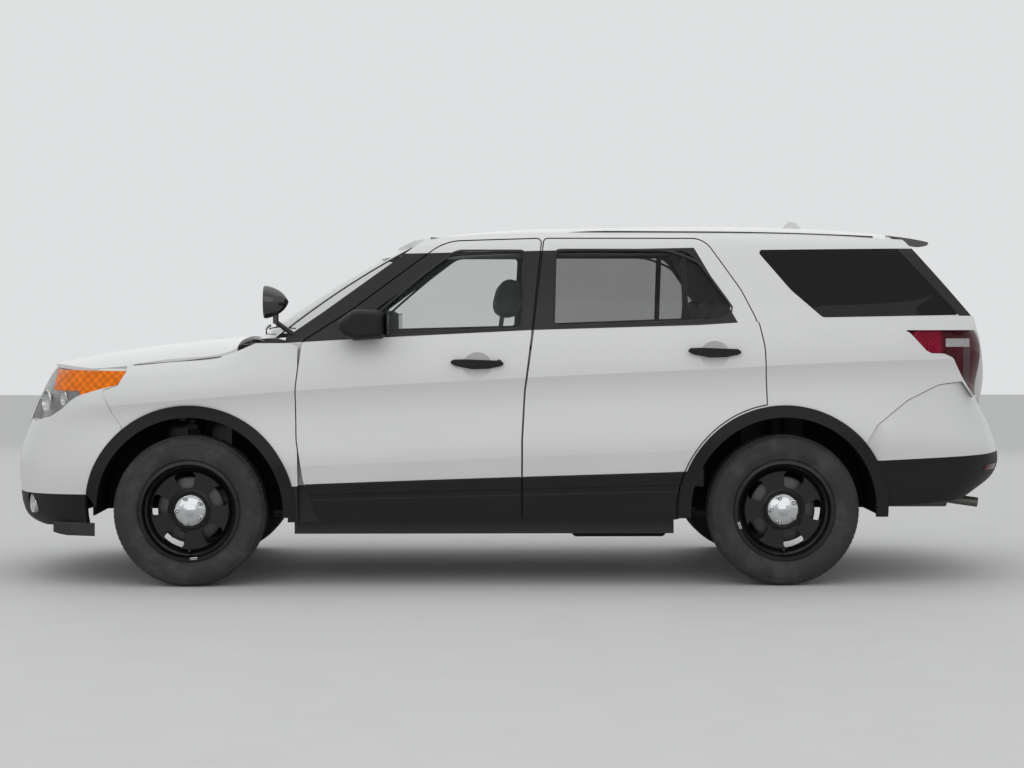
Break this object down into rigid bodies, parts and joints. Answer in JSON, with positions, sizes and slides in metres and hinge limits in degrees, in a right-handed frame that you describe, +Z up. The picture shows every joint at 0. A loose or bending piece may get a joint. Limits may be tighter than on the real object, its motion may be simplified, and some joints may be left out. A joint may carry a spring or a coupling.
{
  "type": "police sport utility vehicle",
  "caption": "Five-door sport utility vehicle with pillar spotlight, opening doors, hood and tailgate, steering front wheels and free-rolling wheels.",
  "frame": {"origin": "on the floor, midway between the front and rear ends, on the centre plane", "axes": "+X forwards, +Y to the vehicle's left, +Z up"},
  "size_m": [5.0119, 2.288, 1.7882],
  "materials": {
    "paint": "gloss clear-coated white",
    "black_trim": "satin dark grained plastic",
    "gloss_black": "gloss black",
    "glass": "clear green-tinted glass",
    "privacy_glass": "dark tinted glass",
    "lamp_lens": "clear polycarbonate",
    "red_lens": "red gloss lens",
    "floor_metal": "satin coated sheet",
    "cabin_plastic": "matt grained plastic",
    "seat_fabric": "woven cloth",
    "engine_metal": "cast satin",
    "exhaust_steel": "dull steel",
    "chassis_iron": "painted casting",
    "wheel_black": "gloss black",
    "tyre": "black rubber"
  },
  "bodies": {
    "body": {"body_side_left": "paint", "body_side_right": "paint", "front_fender_left": "paint", "front_fender_right": "paint", "roof_panel": "paint", "front_bumper": "paint", "rear_bumper": "paint", "front_valance": "black_trim", "rear_valance": "black_trim", "grille": "black_trim", "wheel_arch_mouldings": "black_trim", "wheel_liners": "black_trim", "cowl_panel": "black_trim", "headlamps": "lamp_lens", "tail_lamps": "red_lens", "windshield": "glass", "quarter_glass": "privacy_glass", "floor_pan": "floor_metal", "dashboard": "cabin_plastic", "front_seats": "seat_fabric", "rear_seat": "seat_fabric", "engine": "engine_metal", "exhaust": "exhaust_steel", "fuel_tank": "black_trim", "spotlight": "gloss_black", "roof_antenna": "paint", "front_suspension": "chassis_iron", "rear_suspension": "chassis_iron"},
    "front_door_left_body": {"front_door_left": "paint", "front_door_glass_left": "glass", "front_door_trim_left": "black_trim", "mirror_left": "black_trim"},
    "rear_door_left_body": {"rear_door_left": "paint", "rear_door_glass_left": "privacy_glass", "rear_door_trim_left": "black_trim"},
    "front_knuckle_left_body": {"front_knuckle_left": "chassis_iron"},
    "front_wheel_left_body": {"front_wheel_left": "wheel_black", "front_tyre_left": "tyre"},
    "rear_wheel_left_body": {"rear_wheel_left": "wheel_black", "rear_tyre_left": "tyre"},
    "front_door_right_body": {"front_door_right": "paint", "front_door_glass_right": "glass", "front_door_trim_right": "black_trim", "mirror_right": "black_trim"},
    "rear_door_right_body": {"rear_door_right": "paint", "rear_door_glass_right": "privacy_glass", "rear_door_trim_right": "black_trim"},
    "front_knuckle_right_body": {"front_knuckle_right": "chassis_iron"},
    "front_wheel_right_body": {"front_wheel_right": "wheel_black", "front_tyre_right": "tyre"},
    "rear_wheel_right_body": {"rear_wheel_right": "wheel_black", "rear_tyre_right": "tyre"},
    "hood_body": {"hood": "paint"},
    "liftgate_body": {"liftgate": "paint", "liftgate_glass": "privacy_glass", "rear_spoiler": "gloss_black"},
    "steering_wheel_body": {"steering_wheel": "cabin_plastic"}
  },
  "joints": [
    {"name": "front_door_left_hinge", "type": "hinge", "parent": "body", "child": "front_door_left_body", "pos_m": [1, 0.975, 0.75], "axis": [0, 0, -1], "range_deg": [0, 68]},
    {"name": "rear_door_left_hinge", "type": "hinge", "parent": "body", "child": "rear_door_left_body", "pos_m": [-0.084, 0.975, 0.75], "axis": [0, 0, -1], "range_deg": [0, 70]},
    {"name": "front_left_steer", "type": "hinge", "parent": "body", "child": "front_knuckle_left_body", "pos_m": [1.554, 0.786, 0.363], "axis": [0, 0, 1], "range_deg": [-35, 35]},
    {"name": "front_left_wheel_spin", "type": "hinge", "parent": "front_knuckle_left_body", "child": "front_wheel_left_body", "pos_m": [1.554, 0.851, 0.363], "axis": [0, 1, 0], "continuous": true},
    {"name": "rear_left_wheel_spin", "type": "hinge", "parent": "body", "child": "rear_wheel_left_body", "pos_m": [-1.306, 0.851, 0.363], "axis": [0, 1, 0], "continuous": true},
    {"name": "front_door_right_hinge", "type": "hinge", "parent": "body", "child": "front_door_right_body", "pos_m": [1, -0.975, 0.75], "axis": [0, 0, 1], "range_deg": [0, 68]},
    {"name": "rear_door_right_hinge", "type": "hinge", "parent": "body", "child": "rear_door_right_body", "pos_m": [-0.084, -0.975, 0.75], "axis": [0, 0, 1], "range_deg": [0, 70]},
    {"name": "front_right_steer", "type": "hinge", "parent": "body", "child": "front_knuckle_right_body", "pos_m": [1.554, -0.786, 0.363], "axis": [0, 0, 1], "range_deg": [-35, 35]},
    {"name": "front_right_wheel_spin", "type": "hinge", "parent": "front_knuckle_right_body", "child": "front_wheel_right_body", "pos_m": [1.554, -0.851, 0.363], "axis": [0, 1, 0], "continuous": true},
    {"name": "rear_right_wheel_spin", "type": "hinge", "parent": "body", "child": "rear_wheel_right_body", "pos_m": [-1.306, -0.851, 0.363], "axis": [0, 1, 0], "continuous": true},
    {"name": "hood_hinge", "type": "hinge", "parent": "body", "child": "hood_body", "pos_m": [1.27, 0, 1.135], "axis": [0, -1, 0], "range_deg": [0, 48]},
    {"name": "liftgate_hinge", "type": "hinge", "parent": "body", "child": "liftgate_body", "pos_m": [-1.893, 0, 1.716], "axis": [0, 1, 0], "range_deg": [0, 82]},
    {"name": "steering_wheel_turn", "type": "hinge", "parent": "body", "child": "steering_wheel_body", "pos_m": [0.572, 0.38, 0.969], "axis": [-0.906, 0, 0.4233], "range_deg": [-560, 560]}
  ],
  "couplings": [
    {"joint": "front_right_steer", "follows": "front_left_steer", "ratio": 1},
    {"joint": "steering_wheel_turn", "follows": "front_left_steer", "ratio": 16}
  ]
}
